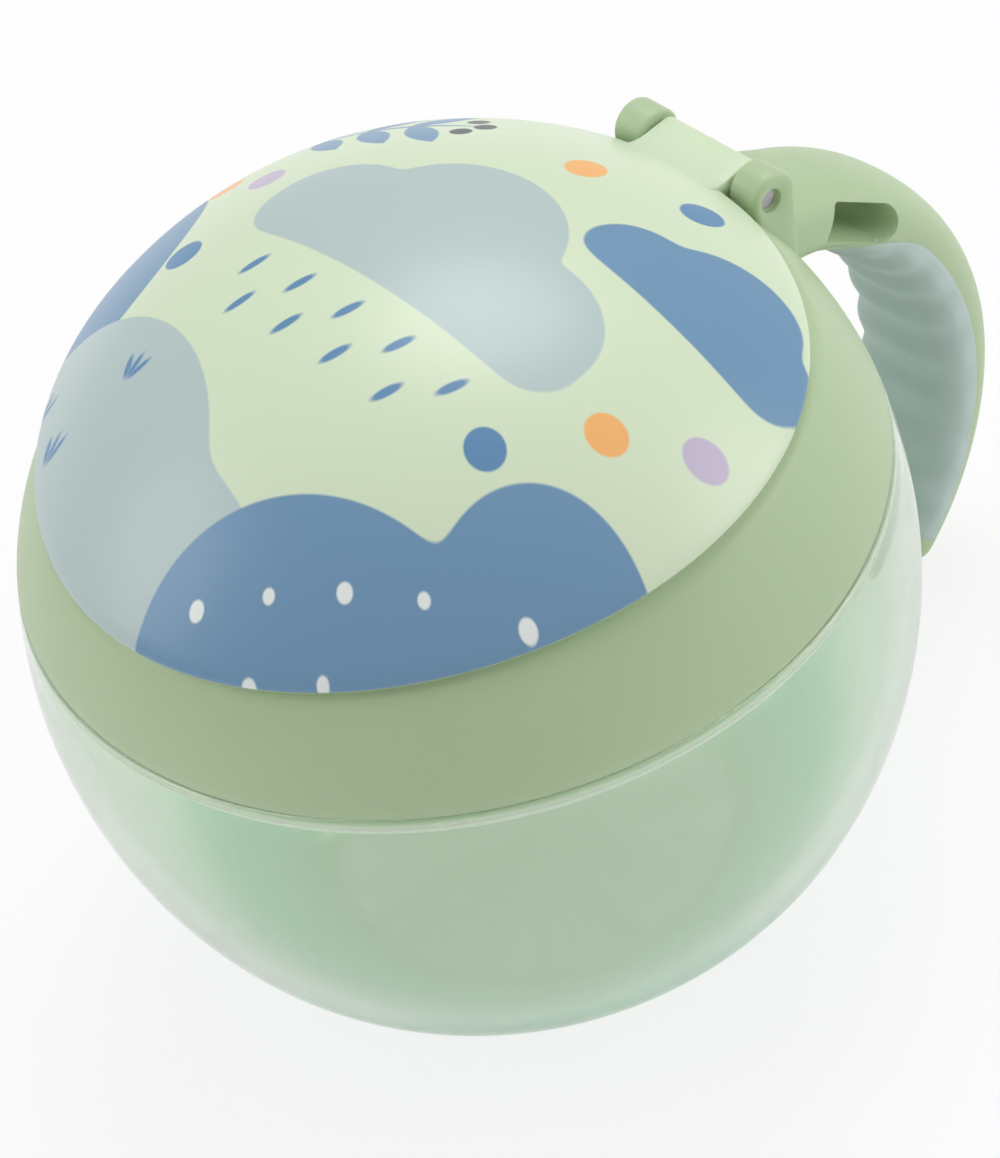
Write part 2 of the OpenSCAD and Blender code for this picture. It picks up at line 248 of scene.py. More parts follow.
def cut(obj, verts, faces):
    """Cuts a shape given by points and faces out of a piece."""
    tool = add_object("cutter", new_mesh("cutter", verts, faces))
    clean(tool)
    mod = obj.modifiers.new("cut", "BOOLEAN")
    mod.object, mod.operation, mod.solver = tool, "DIFFERENCE", "EXACT"
    depsgraph = bpy.context.evaluated_depsgraph_get()
    result = bpy.data.meshes.new_from_object(obj.evaluated_get(depsgraph))
    obj.modifiers.clear()
    obj.data = result
    bpy.data.objects.remove(tool)
    shade(obj)


# ---------------------------------------------------------------- materials
def srgb(r, g, b):
    """A colour from 0-255 values as linear light."""
    def one(v):
        v /= 255
        return v / 12.92 if v <= 0.04045 else ((v + 0.055) / 1.055) ** 2.4
    return (one(r), one(g), one(b), 1.0)


class Nodes:
    """Short names for building a shader tree."""

    def __init__(self, name):
        self.material = bpy.data.materials.new(name)
        self.material.use_nodes = True
        self.tree = self.material.node_tree
        self.shader = self.tree.nodes["Principled BSDF"]
        self.output = self.tree.nodes["Material Output"]

    def add(self, kind, **settings):
        node = self.tree.nodes.new(kind)
        for key, value in settings.items():
            setattr(node, key, value)
        return node

    def link(self, a, b):
        self.tree.links.new(a, b)

    def put(self, socket, value):
        """Links a socket, or sets a plain value."""
        if isinstance(value, bpy.types.NodeSocket):
            self.link(value, socket)
        else:
            socket.default_value = value

    def feed(self, name, value):
        """Puts a socket or a plain value into an input of the main shader."""
        self.put(self.shader.inputs[name], value)

    def sets(self, **values):
        """Sets plain values of the main shader, with _ for each space in a name."""
        for key, value in values.items():
            self.shader.inputs[key.replace("_", " ")].default_value = value

    def math(self, operation, a, b=0.0, c=0.0):
        node = self.add("ShaderNodeMath", operation=operation)
        for socket, value in zip(node.inputs, (a, b, c)):
            self.put(socket, value)
        return node.outputs[0]

    def mix(self, factor, a, b):
        node = self.add("ShaderNodeMix", data_type="RGBA")
        self.put(node.inputs["Factor"], factor)
        self.put(node.inputs[6], a)
        self.put(node.inputs[7], b)
        return node.outputs[2]

    def ramp(self, value, start, end, low=0.0, high=1.0, kind="LINEAR"):
        """A value that runs from start to end while the input runs from low to high."""
        node = self.add("ShaderNodeMapRange", interpolation_type=kind)
        self.link(value, node.inputs["Value"])
        for key, number in (("From Min", low), ("From Max", high), ("To Min", start), ("To Max", end)):
            node.inputs[key].default_value = number
        return node.outputs[0]

    def coords(self):
        return self.add("ShaderNodeTexCoord").outputs["Object"]

    def axes(self):
        """The three parts of the object's own coordinates, in metres."""
        split = self.add("ShaderNodeSeparateXYZ")
        self.link(self.coords(), split.inputs[0])
        return split.outputs

    def noise(self, scale):
        node = self.add("ShaderNodeTexNoise")
        node.inputs["Scale"].default_value = scale
        node.inputs["Detail"].default_value = 3.0
        self.link(self.coords(), node.inputs["Vector"])
        return node.outputs["Fac"]

    def bump(self, height, strength):
        node = self.add("ShaderNodeBump")
        node.inputs["Strength"].default_value = strength
        node.inputs["Distance"].default_value = 0.0002
        self.link(height, node.inputs["Height"])
        self.link(node.outputs[0], self.shader.inputs["Normal"])

    def blend(self, share, other):
        """Shows another shader in place of the main one, by a share."""
        node = self.add("ShaderNodeMixShader")
        self.put(node.inputs[0], share)
        self.link(self.shader.outputs[0], node.inputs[1])
        self.link(other.outputs[0], node.inputs[2])
        self.link(node.outputs[0], self.output.inputs["Surface"])


TONE_DRIFT, GLOSS_DRIFT = 0.04, 0.04


def plastic(name, colour, roughness, grain=900.0, strength=0.05, subsurface=0.0):
    """Moulded plastic: a faint drift of tone, a fine grain, and a soft glow if asked."""
    m = Nodes(name)
    dark = tuple(v * (1 - TONE_DRIFT) for v in colour[:3]) + (1.0,)
    light = tuple(min(1.0, v * (1 + TONE_DRIFT)) for v in colour[:3]) + (1.0,)
    m.feed("Base Color", m.mix(m.noise(30.0), dark, light))
    m.feed("Roughness", m.ramp(m.noise(140.0), roughness - GLOSS_DRIFT, roughness + GLOSS_DRIFT))
    m.bump(m.noise(grain), strength)
    if subsurface:
        m.sets(Subsurface_Weight=subsurface, Subsurface_Scale=0.004,
               Subsurface_Radius=(0.9, 1.0, 0.6))
    return m.material


def clear_plastic():
    """See-through mint plastic: a little haze, a green that deepens with depth, light shadows, and
    painted light by height: teal lower down, painted shade on the base and a painted highlight under the
    collar.
    """
    m = Nodes("clear_bowl")
    m.sets(IOR=1.46, Specular_IOR_Level=0.3)
    height = m.axes()[2]

    def between(band, start, end):
        """A value that runs softly from start to end over a band of heights."""
        low, high = band
        return m.ramp(height, start, end, low * MM, high * MM, "SMOOTHSTEP")

    base_shade_band, painted_teal_band, haze_band = (1.6, 3.2), (9.0, 20.5), (3.0, 15.0)
    seam_glow_band = (SEAM_Z - 1.2, SEAM_Z - 0.2)
    clearest = 0.82
    # Just under the collar the bowl is made less clear, which covers the dark shade of the gap seen
    # through it; towards the bottom the haze lowers clearness too.
    m.feed("Transmission Weight", m.math("MINIMUM", between(seam_glow_band, clearest, 0.5),
                                         between(haze_band, 0.56, clearest)))
    tint = m.mix(m.noise(25.0), srgb(242, 249, 238), srgb(248, 252, 244))
    # Painted light effect: greener towards the bottom, standing in for the deeper teal that light takes
    # on crossing the wall edge-on at the outline.
    tint = m.mix(between(painted_teal_band, 0.75, 0.0), tint, srgb(173, 226, 194))
    # Painted shade: the bowl's flat base is tinted a darker grey-green, standing in for the shadowed
    # floor seen through it.
    tint = m.mix(between(base_shade_band, 1.0, 0.0), tint, srgb(206, 218, 190))
    # Painted highlight: a pale yellow-green line just under the collar, standing in for light on the
    # collar's rounded hem.
    tint = m.mix(between(seam_glow_band, 0.0, 0.6), tint, srgb(208, 226, 188))
    m.feed("Base Color", tint)
    m.feed("Roughness", m.ramp(m.noise(60.0), 0.05, 0.11))
    m.bump(m.noise(220.0), 0.006)
    through = m.add("ShaderNodeBsdfTransparent")
    through.inputs["Color"].default_value = (0.95, 0.98, 0.95, 1.0)
    m.blend(m.add("ShaderNodeLightPath").outputs["Is Shadow Ray"], through)
    depth = m.add("ShaderNodeVolumeAbsorption")
    depth.inputs["Color"].default_value = (0.42, 0.86, 0.6, 1.0)
    depth.inputs["Density"].default_value = 25.0
    m.link(depth.outputs[0], m.output.inputs["Volume"])
    return m.material


def pin_steel():
    m = Nodes("pin_steel")
    m.sets(Metallic=1.0, Roughness=0.35)
    m.feed("Base Color", m.mix(m.noise(1500.0), srgb(150, 150, 148), srgb(190, 190, 188)))
    m.bump(m.noise(2500.0), 0.15)
    return m.material


PALE_GREEN = srgb(215, 232, 200)
SAGE = plastic("sage_plastic", srgb(182, 204, 164), 0.42, subsurface=0.12)
PALE = plastic("pale_green_plastic", PALE_GREEN, 0.34, subsurface=0.15)
GRIP = plastic("grip_rubber", srgb(190, 207, 203), 0.62, grain=1500.0, strength=0.12)
FLAPS = plastic("flap_rubber", srgb(200, 220, 205), 0.5, subsurface=0.2)
SEAL = plastic("seal_rubber", srgb(228, 232, 228), 0.5)
CLEAR = clear_plastic()
STEEL = pin_steel()

# ---------------------------------------------------------------- the print on the dome
INKS = {
    "grey": srgb(184, 203, 202),
    "mid": srgb(112, 152, 186),
    "deep": srgb(96, 142, 184),
    "orange": srgb(250, 186, 112),
    "lilac": srgb(198, 186, 210),
    "dark": srgb(62, 66, 70),
    "white": srgb(240, 245, 242),
}
INK_EDGE = 0.12

# Ovals are (x, y, half length, half width, turn in degrees); the turn may be left out.
LEFT_HILL = (-42, -14, 13, 19, 12)
FRONT_HILL = ((-24, -40, 27, 22), (-2, -44, 20, 14))
RIGHT_HILL = ((24, -40, 23, 17, 24), (40, -20, 12, 14, 30))
CLOUD = ((-13, 3, 10, 9), (1, 8, 13.5, 12), (16, 3, 10, 9), (2, 0, 23, 6))
SMALL_CLOUD = ((18, 20, 6.5, 5.5), (26, 23, 8.5, 8), (33.5, 20, 6, 6), (26, 18.5, 12.5, 4))
# Rows of rain are (y, number of dashes, first x).
RAIN = ((-8.5, 5, -14.0), (-13.5, 4, -11.0))
DOTS = (("orange", -37, 5), ("lilac", -29, 5.5), ("deep", -27, -9), ("orange", 1, 27.5),
        ("deep", 13, 33), ("lilac", 39, 7), ("orange", 32, 0), ("deep", 25, -11))
TUFTS = ((-34, -30), (-26, -35), (-19, -26))
# Specks on the right hill are (x, y, radius).
SPECKS = ((8, -41, 0.9), (15, -36, 0.7), (17, -43, 1.0), (22, -31, 0.9), (24, -38, 0.7),
          (31, -34, 1.0), (29, -26, 0.7), (36, -28, 0.8), (38, -20, 1.0), (43, -15, 0.8))


class Stencil:
    """Printed shapes as distances to their edge, in millimetres seen from above."""

    def __init__(self, m):
        self.m = m
        x, y = m.axes()[:2]
        self.x = m.math("MULTIPLY", x, 1 / MM)
        self.y = m.math("MULTIPLY", y, 1 / MM)

    def turned(self, cx, cy, degrees):
        """The point seen from a shape's own middle and direction."""
        m = self.m
        c, s = math.cos(math.radians(degrees)), math.sin(math.radians(degrees))
        dx, dy = m.math("SUBTRACT", self.x, cx), m.math("SUBTRACT", self.y, cy)
        along = m.math("ADD", m.math("MULTIPLY", dx, c), m.math("MULTIPLY", dy, s))
        across = m.math("SUBTRACT", m.math("MULTIPLY", dy, c), m.math("MULTIPLY", dx, s))
        return along, across

    def length(self, u, v):
        m = self.m
        return m.math("SQRT", m.math("ADD", m.math("POWER", u, 2.0), m.math("POWER", v, 2.0)))

    def oval(self, cx, cy, rx, ry, degrees=0.0):
        m = self.m
        u, v = self.turned(cx, cy, degrees)
        size = self.length(m.math("DIVIDE", u, rx), m.math("DIVIDE", v, ry))
        return m.math("MULTIPLY", m.math("SUBTRACT", size, 1.0), min(rx, ry))

    def leaf(self, cx, cy, r, push, degrees):
        """The overlap of two discs: a pointed leaf."""
        m = self.m
        u, v = self.turned(cx, cy, degrees)
        return m.math("MAXIMUM", *(m.math("SUBTRACT", self.length(u, m.math("ADD", v, shift)), r)
                                   for shift in (-push, push)))

    def blob(self, ovals, soft):
        """Several ovals run softly into one shape."""
        shapes = [self.oval(*values) for values in ovals]
        out = shapes[0]
        for other in shapes[1:]:
            out = self.m.math("SMOOTH_MIN", out, other, soft)
        return out

    def flat_under(self, shape, level):
        """A shape cut off below a level, with soft corners."""
        return self.m.math("SMOOTH_MAX", shape, self.m.math("SUBTRACT", level, self.y), 2.0)


def print_layers(stencil):
    """The printed shapes with their inks, lowest first; the hinge is at +Y."""
    oval = stencil.oval
    layers = [("mid", oval(*LEFT_HILL)), ("grey", stencil.blob(FRONT_HILL, 4.0)),
              ("mid", stencil.blob(RIGHT_HILL, 4.0)),
              ("grey", stencil.flat_under(stencil.blob(CLOUD, 2.0), -4.0)),
              ("mid", stencil.flat_under(stencil.blob(SMALL_CLOUD, 2.5), 15.8))]
    for y, count, first in RAIN:
        layers += [("deep", oval(first + 8.0 * i, y, 1.9, 0.55, 68)) for i in range(count)]
    layers += print_sprig(stencil)
    layers += [(ink, oval(x, y, 2.3, 2.3)) for ink, x, y in DOTS]
    for x, y in TUFTS:
        for turn in (62, 90, 118):
            lean = math.radians(turn)
            blade = oval(x + 2.2 * math.cos(lean), y + 2.2 * math.sin(lean), 1.5, 0.4, turn)
            layers.append(("deep", blade))
    layers += [("white", oval(x, y, r, r)) for x, y, r in SPECKS]
    return layers


def print_sprig(stencil):
    """A stem with leaves in pairs and three berries at its end."""
    lean_deg = 30
    lean = math.radians(lean_deg)
    root = Vector((-37, 15))
    along = Vector((math.cos(lean), math.sin(lean)))
    across = Vector((-along.y, along.x))
    stem = 12
    middle = root + along * stem
    parts = [("deep", stencil.oval(middle.x, middle.y, stem, 0.4, lean_deg))]
    for reach in (3.5, 9.5, 15.5):
        for side in (-52, 52):
            a = lean + math.radians(side)
            place = root + along * reach + Vector((math.cos(a), math.sin(a))) * 4.3
            parts.append(("mid", stencil.leaf(place.x, place.y, 6.3, 4.5, lean_deg + side)))
    for u, v in ((24.5, 0.0), (22.6, 2.6), (22.6, -2.6)):
        place = root + along * u + across * v
        parts.append(("dark", stencil.oval(place.x, place.y, 1.3, 1.3)))
    return parts


def print_film():
    """Hills, clouds, leaves and dots printed over the pale dome, as plain shapes from above."""
    m = Nodes("print_film")
    colour = m.mix(m.noise(18.0), PALE_GREEN, srgb(221, 235, 206))
    for ink, shape in print_layers(Stencil(m)):
        inside = m.ramp(shape, 0.0, 1.0, INK_EDGE, -INK_EDGE)
        colour = m.mix(inside, colour, INKS[ink])
    m.feed("Base Color", colour)
    m.sets(Roughness=0.36, Coat_Weight=0.15, Coat_Roughness=0.25)
    m.bump(m.noise(700.0), 0.03)
    return m.material


PRINT = print_film()

# ---------------------------------------------------------------- bowl
FOOT_Z = FOOT_R * (1 - math.sin(FOOT_A))
HAUNCH_Z = FOOT_Z + HAUNCH_R * (math.sin(FOOT_A) - math.sin(HAUNCH_A))
SIDE_C = (WIDEST_R - SIDE_R, HAUNCH_Z + SIDE_R * math.sin(HAUNCH_A))
HAUNCH_C = (SIDE_C[0] + (SIDE_R - HAUNCH_R) * math.cos(HAUNCH_A),
            HAUNCH_Z + HAUNCH_R * math.sin(HAUNCH_A))
FOOT_C = (HAUNCH_C[0] + (HAUNCH_R - FOOT_R) * math.cos(FOOT_A), FOOT_R)


def bowl_side(inset, top):
    """The bowl's outline from the base's edge up, moved in by inset."""
    end = math.asin((top - SIDE_C[1]) / (SIDE_R - inset))
    return (arc(FOOT_C, FOOT_R - inset, -math.pi / 2, -FOOT_A, 8)
            + arc(HAUNCH_C, HAUNCH_R - inset, -FOOT_A, -HAUNCH_A, 12)[1:]
            + arc(SIDE_C, SIDE_R - inset, -HAUNCH_A, end, 28)[1:])


SEAM_R = bowl_side(0, SEAM_Z)[-1][0]
NECK_R = SEAM_R - 5.7
AXIS_R = 0.01


def build_bowl():
    """The bowl as one closed wall: outside, shoulder and neck, inside."""
    inner_neck = NECK_R - BOWL_WALL
    ceiling = SEAM_Z - BOWL_WALL
    outer = [(AXIS_R, 0.0)] + bowl_side(0, SEAM_Z - 0.8)
    shoulder = fillet([outer[-1], (SEAM_R, SEAM_Z), (NECK_R, SEAM_Z), (NECK_R, RIM_Z),
                       (inner_neck, RIM_Z), (inner_neck, ceiling)],
                      [0, 0.6, 0.5, 0.7, 0.7, 0], 5)[1:-1]
    inner = bowl_side(BOWL_WALL, ceiling - 1.5)
    inner_top = inner[-1][0]
    turn_in = [(inner_neck, ceiling + 0.8), (inner_neck + 0.6, ceiling),
               (inner_top - 1.2, ceiling), (inner_top - 0.3, ceiling - 0.4)]
    section = outer + shoulder + turn_in + inner[::-1] + [(AXIS_R, BOWL_WALL)]
    rings = lathe(lambda a: section, ROUND_STEPS)
    make_object("bowl_shell", *skin(rings), CLEAR, "bowl", "clear_bowl", ["bowl"])


# ---------------------------------------------------------------- collar
COLLAR_C = (SEAM_R - COLLAR_ROUND * math.cos(COLLAR_A), COLLAR_Z - COLLAR_ROUND * math.sin(COLLAR_A))


def collar_r(z, inset=0.0):
    """Radius of the collar's round outside at a height, moved in by inset."""
    r = COLLAR_ROUND - inset
    return COLLAR_C[0] + math.sqrt(r * r - (z - COLLAR_C[1]) ** 2)


LID_R = collar_r(LID_Z) + LID_OVERHANG
MOUTH_R = LID_R - 4.4


def egg(a):
    """By what share the egg shape widens the lid's rim at an angle."""
    return LID_EGG * math.sin(a) * math.cos(a) ** 2


def outer_r(a, z):
    """The collar's outside, which follows the lid's egg shape towards its top."""
    rise = max(0.0, (z - COLLAR_Z) / (LID_Z - COLLAR_Z))
    return collar_r(z) * (1 + egg(a) * rise * rise)


def seat_z(a, r):
    """Height of the plane that the lid lies over, at an angle and radius."""
    return LID_Z - LID_GAP / math.cos(LID_TILT) + math.tan(LID_TILT) * (r * math.sin(a) + LID_FORWARD)


def top_edge(a):
    """Radius and height at which the collar's outside meets that plane."""
    z = LID_Z
    for _ in range(12):
        z = seat_z(a, outer_r(a, z))
    return outer_r(a, z), z


def mouth_r(a):
    """Radius of the mouth, a circle around the lid's middle, seen from the bowl's axis."""
    return -LID_FORWARD * math.sin(a) + math.sqrt(MOUTH_R ** 2 - (LID_FORWARD * math.cos(a)) ** 2)


def collar_section(a):
    """The collar's closed section at an angle, from the hem up the outside and down the inside."""
    edge_r, edge_z = top_edge(a)
    mouth = mouth_r(a)
    low = COLLAR_Z + 0.6
    foot = outer_r(a, low)
    floor = DECK_Z + DECK_T
    recess = floor - RECESS_DEPTH
    hem = [(foot - 2.0, COLLAR_Z), (foot - 0.6, COLLAR_Z), (foot - 0.3, COLLAR_Z + 0.08),
           (foot - 0.1, COLLAR_Z + 0.25)]
    side = [(outer_r(a, z), z) for z in spread(low, edge_z - 1.0, 12)]
    brow = [(edge_r + 0.05, edge_z - 0.75), (edge_r - 0.2, edge_z - 0.35), (edge_r - 0.8, edge_z - 0.1)]
    seat = [(mouth + 0.7, seat_z(a, mouth + 0.7)), (mouth + 0.2, seat_z(a, mouth) - 0.15),
            (mouth, seat_z(a, mouth) - 0.6)]
    deck = [(mouth, floor + 0.7), (mouth - 0.2, floor + 0.2), (mouth - 0.7, floor),
            (RECESS_R, floor), (RECESS_R - 0.1, recess), (HAND_R + 0.3, recess),
            (HAND_R, recess - 0.2), (HAND_R, DECK_Z + 0.2), (HAND_R + 0.3, DECK_Z)]
    wall = [(collar_r(z, COLLAR_WALL), z) for z in (DECK_Z, 62.0, 60.0, 58.0, COLLAR_Z + 0.2)]
    return hem + side + brow + seat + deck + wall


def ear(side):
    """One hinge ear: an arch with rounded edges and a sunk pin hole."""
    def outline(inset):
        """The arch from the side, moved in by inset: round above, straight down to its foot."""
        ring = []
        for a in angles(EAR_STEPS):
            c, s = math.cos(a), math.sin(a)
            r = EAR_R - inset
            if s < 0:
                r = min(r / max(abs(c), 1e-6), EAR_FOOT / -s)
            taper = 0.14 * r * min(0.0, s) * max(0.0, c * r / EAR_R)
            ring.append((EAR_BACK + c * r + taper, s * r))
        return ring

    def at(x, ring):
        return [(side * x, HINGE_Y + y, HINGE_Z + z) for y, z in ring]

    rings = []
    for a in spread(0.0, math.pi / 2, 4):
        rings.append(at(EAR_X0 + EAR_SOFT_IN * (1 - math.cos(a)),
                        outline(EAR_SOFT_IN * (1 - math.sin(a)))))
    for a in spread(0.0, math.pi / 2, 5):
        rings.append(at(EAR_X1 - EAR_SOFT_OUT * (1 - math.sin(a)),
                        outline(EAR_SOFT_OUT * (1 - math.cos(a)))))
    rings += [at(EAR_X1 - depth, circle(r, EAR_STEPS)) for depth, r in PIN_HOLE]
    bottom = EAR_X1 - PIN_HOLE[-1][0]
    return skin(rings, closed_rings=False, first=(side * EAR_X0, HINGE_Y, HINGE_Z),
                last=(side * bottom, HINGE_Y, HINGE_Z))


def build_collar():
    """The collar, with room cut between its ears for the swing of the knuckle."""
    rings = lathe(collar_section, COLLAR_STEPS)
    body = make_object("collar_body", *skin(rings), SAGE, "collar", "sage_plastic", ["collar"])
    cut(body, *pin_cylinder(-EAR_X0, EAR_X0, KNUCKLE_ROOM_R))
    for name, side in (("hinge_ear_left", -1), ("hinge_ear_right", 1)):
        make_object(name, *ear(side), SAGE, "collar", "sage_plastic")


# ---------------------------------------------------------------- lid
CAP_H = DOME_H - RIM_BAND
DOME_R = (LID_R ** 2 + CAP_H ** 2) / (2 * CAP_H)
DOME_C = RIM_BAND + CAP_H - DOME_R
FILM_R = LID_R - 0.35
CROWN_R = 0.02


def lid_plane(x, y, z):
    """A point of the rim's tilted frame, in the part's frame."""
    c, s = math.cos(LID_TILT), math.sin(LID_TILT)
    return (x, c * y - s * z - LID_FORWARD, s * y + c * z + LID_Z)


def dome_point(a, r, z):
    """A point of the egg-shaped lid, from its radius and height in the rim's frame."""
    stretch = 1 + LID_EGG * (r / LID_R) * math.sin(a)
    return lid_plane(r * math.cos(a) * stretch, r * math.sin(a), z)


def dome_z(r, inset):
    """Height of the dome over the rim at a radius, moved in by inset."""
    return DOME_C + math.sqrt((DOME_R - inset) ** 2 - r * r)


def dome_arc(inset, r0, r1, n):
    return [(r, dome_z(r, inset)) for r in spread(r0, r1, n)]


def make_lid_piece(name, section, material, slot, node):
    """A round piece of the lid, with room cut for the ears' round tops as it swings."""
    rings = [[dome_point(a, r, z) for r, z in section] for a in angles(ROUND_STEPS)]
    piece = make_object(name, *skin(rings), material, "lid", slot, [node])
    for side in (-1, 1):
        ends = sorted((side * (EAR_X0 - EAR_CLEARANCE), side * (EAR_X1 + EAR_CLEARANCE)))
        cut(piece, *pin_cylinder(*ends, EAR_R + EAR_BACK))


def build_dome():
    """The shell under the film, with a thin rolled rim."""
    crown = dome_arc(FILM_T, CROWN_R, FILM_R - 0.4, 36)
    rim = [(LID_R - 0.24, RIM_BAND - 0.2), (LID_R - 0.22, 0.26), (LID_R - 0.02, 0.22),
           (LID_R - 0.1, 0.1), (LID_R - 0.35, 0.0), (LID_R - LID_WALL, 0.0)]
    inside = dome_arc(LID_WALL, LID_R - LID_WALL - 0.6, CROWN_R, 30)
    make_lid_piece("lid_shell", crown + rim + inside, PALE, "pale_green_plastic", "lid_dome")


def build_film():
    """The printed film, whose edge runs down over the rim."""
    top = dome_arc(0.0, CROWN_R, FILM_R, 44)
    rim = [(LID_R - 0.1, RIM_BAND - 0.02), (LID_R, RIM_BAND - 0.2), (LID_R, 0.36),
           (LID_R - 0.08, 0.28), (LID_R - 0.2, 0.28), (LID_R - 0.22, RIM_BAND - 0.22)]
    under = dome_arc(FILM_T - 0.02, FILM_R - 0.4, CROWN_R, 44)
    make_lid_piece("lid_print", top + rim + under, PRINT, "print_film", "lid_print_film")


def dome_side(x, r):
    """Where the dome's surface lies at a distance x beside the middle and a radius r: (Y, Z)."""
    return Vector(lid_plane(x, math.sqrt(r * r - x * x), dome_z(r, 0.0))[1:])


def knuckle_outline(x):
    """Side view of the knuckle: flat on top, round underneath, run softly onto the dome."""
    top, back = HINGE_Z + 2.2, HINGE_Y + 2.85
    r = LID_R
    while dome_side(x, r).y < top:
        r -= 0.01
    corner, high = dome_side(x, r), dome_side(x, r - 2.6)
    corners = [(HINGE_Y - 4.2, HINGE_Z + 0.6), (high.x + 0.3, high.y - 1.5), tuple(high),
               tuple(corner), (back, top), (back, HINGE_Z)]
    barrel = arc((HINGE_Y, HINGE_Z), KNUCKLE_R, 0.0, -math.pi, 18)
    return fillet(corners, [0, 0, 0, 5.5, 1.2, 0], 6)[:-1] + barrel + [(HINGE_Y - 3.3, HINGE_Z + 0.35)]


def build_knuckle():
    """The knuckle between the ears, with softened ends."""
    middle = Vector((HINGE_Y - 1.0, HINGE_Z - 0.2))

    def at(x, inset):
        ring = []
        for y, z in knuckle_outline(x):
            away = Vector((y, z)) - middle
            p = middle + away * (1 - inset / away.length)
            ring.append((x, p.x, p.y))
        return ring

    x, soft = KNUCKLE_X, 0.35
    rings = [at(-x, soft), at(-x + 0.1, 0.12)]
    rings += [at(place, 0.0) for place in spread(-x + soft, x - soft, 8)]
    rings += [at(x - 0.1, 0.12), at(x, soft)]
    make_object("lid_knuckle", *capped(rings), PALE, "lid", "pale_green_plastic")


# ---------------------------------------------------------------- arm and grip
TIP_ALONG = Vector((0, math.sin(TIP_A), -math.cos(TIP_A)))


def arm_half(a):
    """Half width and half thickness of the arm at an angle of its bend."""
    degrees = math.degrees(a)
    from_tip = min(1.0, max(0.0, (degrees + 52) / 52))
    thickness = 0.72 + 0.28 * from_tip ** 0.8
    flare = max(0.0, (degrees - 62) / 18)
    return ARM_X * (1 + 0.1 * flare), ARM_N * thickness * (1 + 0.2 * flare)


def arm_point(a, u, phi, grow=0.0):
    """A point of the arm's oval section: phi 0 is outwards, 90 degrees is +X."""
    half_x, half_n = arm_half(a)
    squareness = 0.85
    c, s = math.cos(phi), math.sin(phi)
    if c < 0:
        half_n *= 0.84
    half_x, half_n = half_x + grow, half_n + grow
    out = math.copysign(abs(c) ** squareness, c) * half_n * u
    x = math.copysign(abs(s) ** squareness, s) * half_x * u
    r = ARM_BEND + out
    return (x, BEND_Y + r * math.cos(a), BEND_Z + r * math.sin(a))


def tip_point(share, phi):
    """A point of the rounded free end: share runs from 0 at its foot to 1 at its pole."""
    fall = math.sqrt(max(0.0, 1 - share * share))
    return tuple(Vector(arm_point(TIP_A, fall, phi)) + TIP_ALONG * arm_half(TIP_A)[1] * share)


def build_arm():
    """The arm from its root in the collar to its rounded free end, with the slot cut out."""
    around, tip_steps = angles(64), 10
    rings = [[arm_point(a, 1.0, phi) for phi in around] for a in spread(ROOT_A, TIP_A, 96)]
    rings += [[tip_point(math.sin(math.pi / 2 * i / tip_steps), phi) for phi in around]
              for i in range(1, tip_steps)]
    verts, faces = skin(rings, closed_rings=False, first=arm_point(ROOT_A, 0.0, 0.0),
                        last=tip_point(1.0, 0.0))
    arm = make_object("arm_shell", verts, faces, SAGE, "collar", "sage_plastic", ["handle_arm"])
    cut_slot(arm)


def cut_slot(arm):
    """A through slot with eased edges: straight at the hinge end, round at the other."""
    place, r, length, half = math.radians(52.5), ARM_BEND + 0.5, 8.9, 2.2
    middle = Vector((BEND_Y + r * math.cos(place), BEND_Z + r * math.sin(place)))
    along = Vector((math.sin(place), -math.cos(place)))
    out = Vector((math.cos(place), math.sin(place)))

    def outline(grow):
        left = -(length + half) / 2 - grow
        right = left + length + grow
        corners = [(left, half + grow), (left, -half - grow), (right, -half - grow), (right, half + grow)]
        ring = fillet(corners, [0.7, 0.7, 0, 0], 4)[:-2]
        ring += arc((right, 0.0), half + grow, -math.pi / 2, math.pi / 2, 16)
        return [middle + along * u + out * v for u, v in ring]

    funnel = ((-14.0, 2.4), (-7.0, 0.0), (7.0, 0.0), (14.0, 2.4))
    cut(arm, *capped([[(x, p.x, p.y) for p in outline(grow)] for x, grow in funnel]))


def smooth(value):
    """Runs softly from 0 to 1."""
    value = min(1.0, value)
    return value * value * (3 - 2 * value)


def quarter_sine(value):
    """Runs from 0 to 1 with a round shoulder."""
    return math.sin(math.pi / 2 * min(1.0, value))


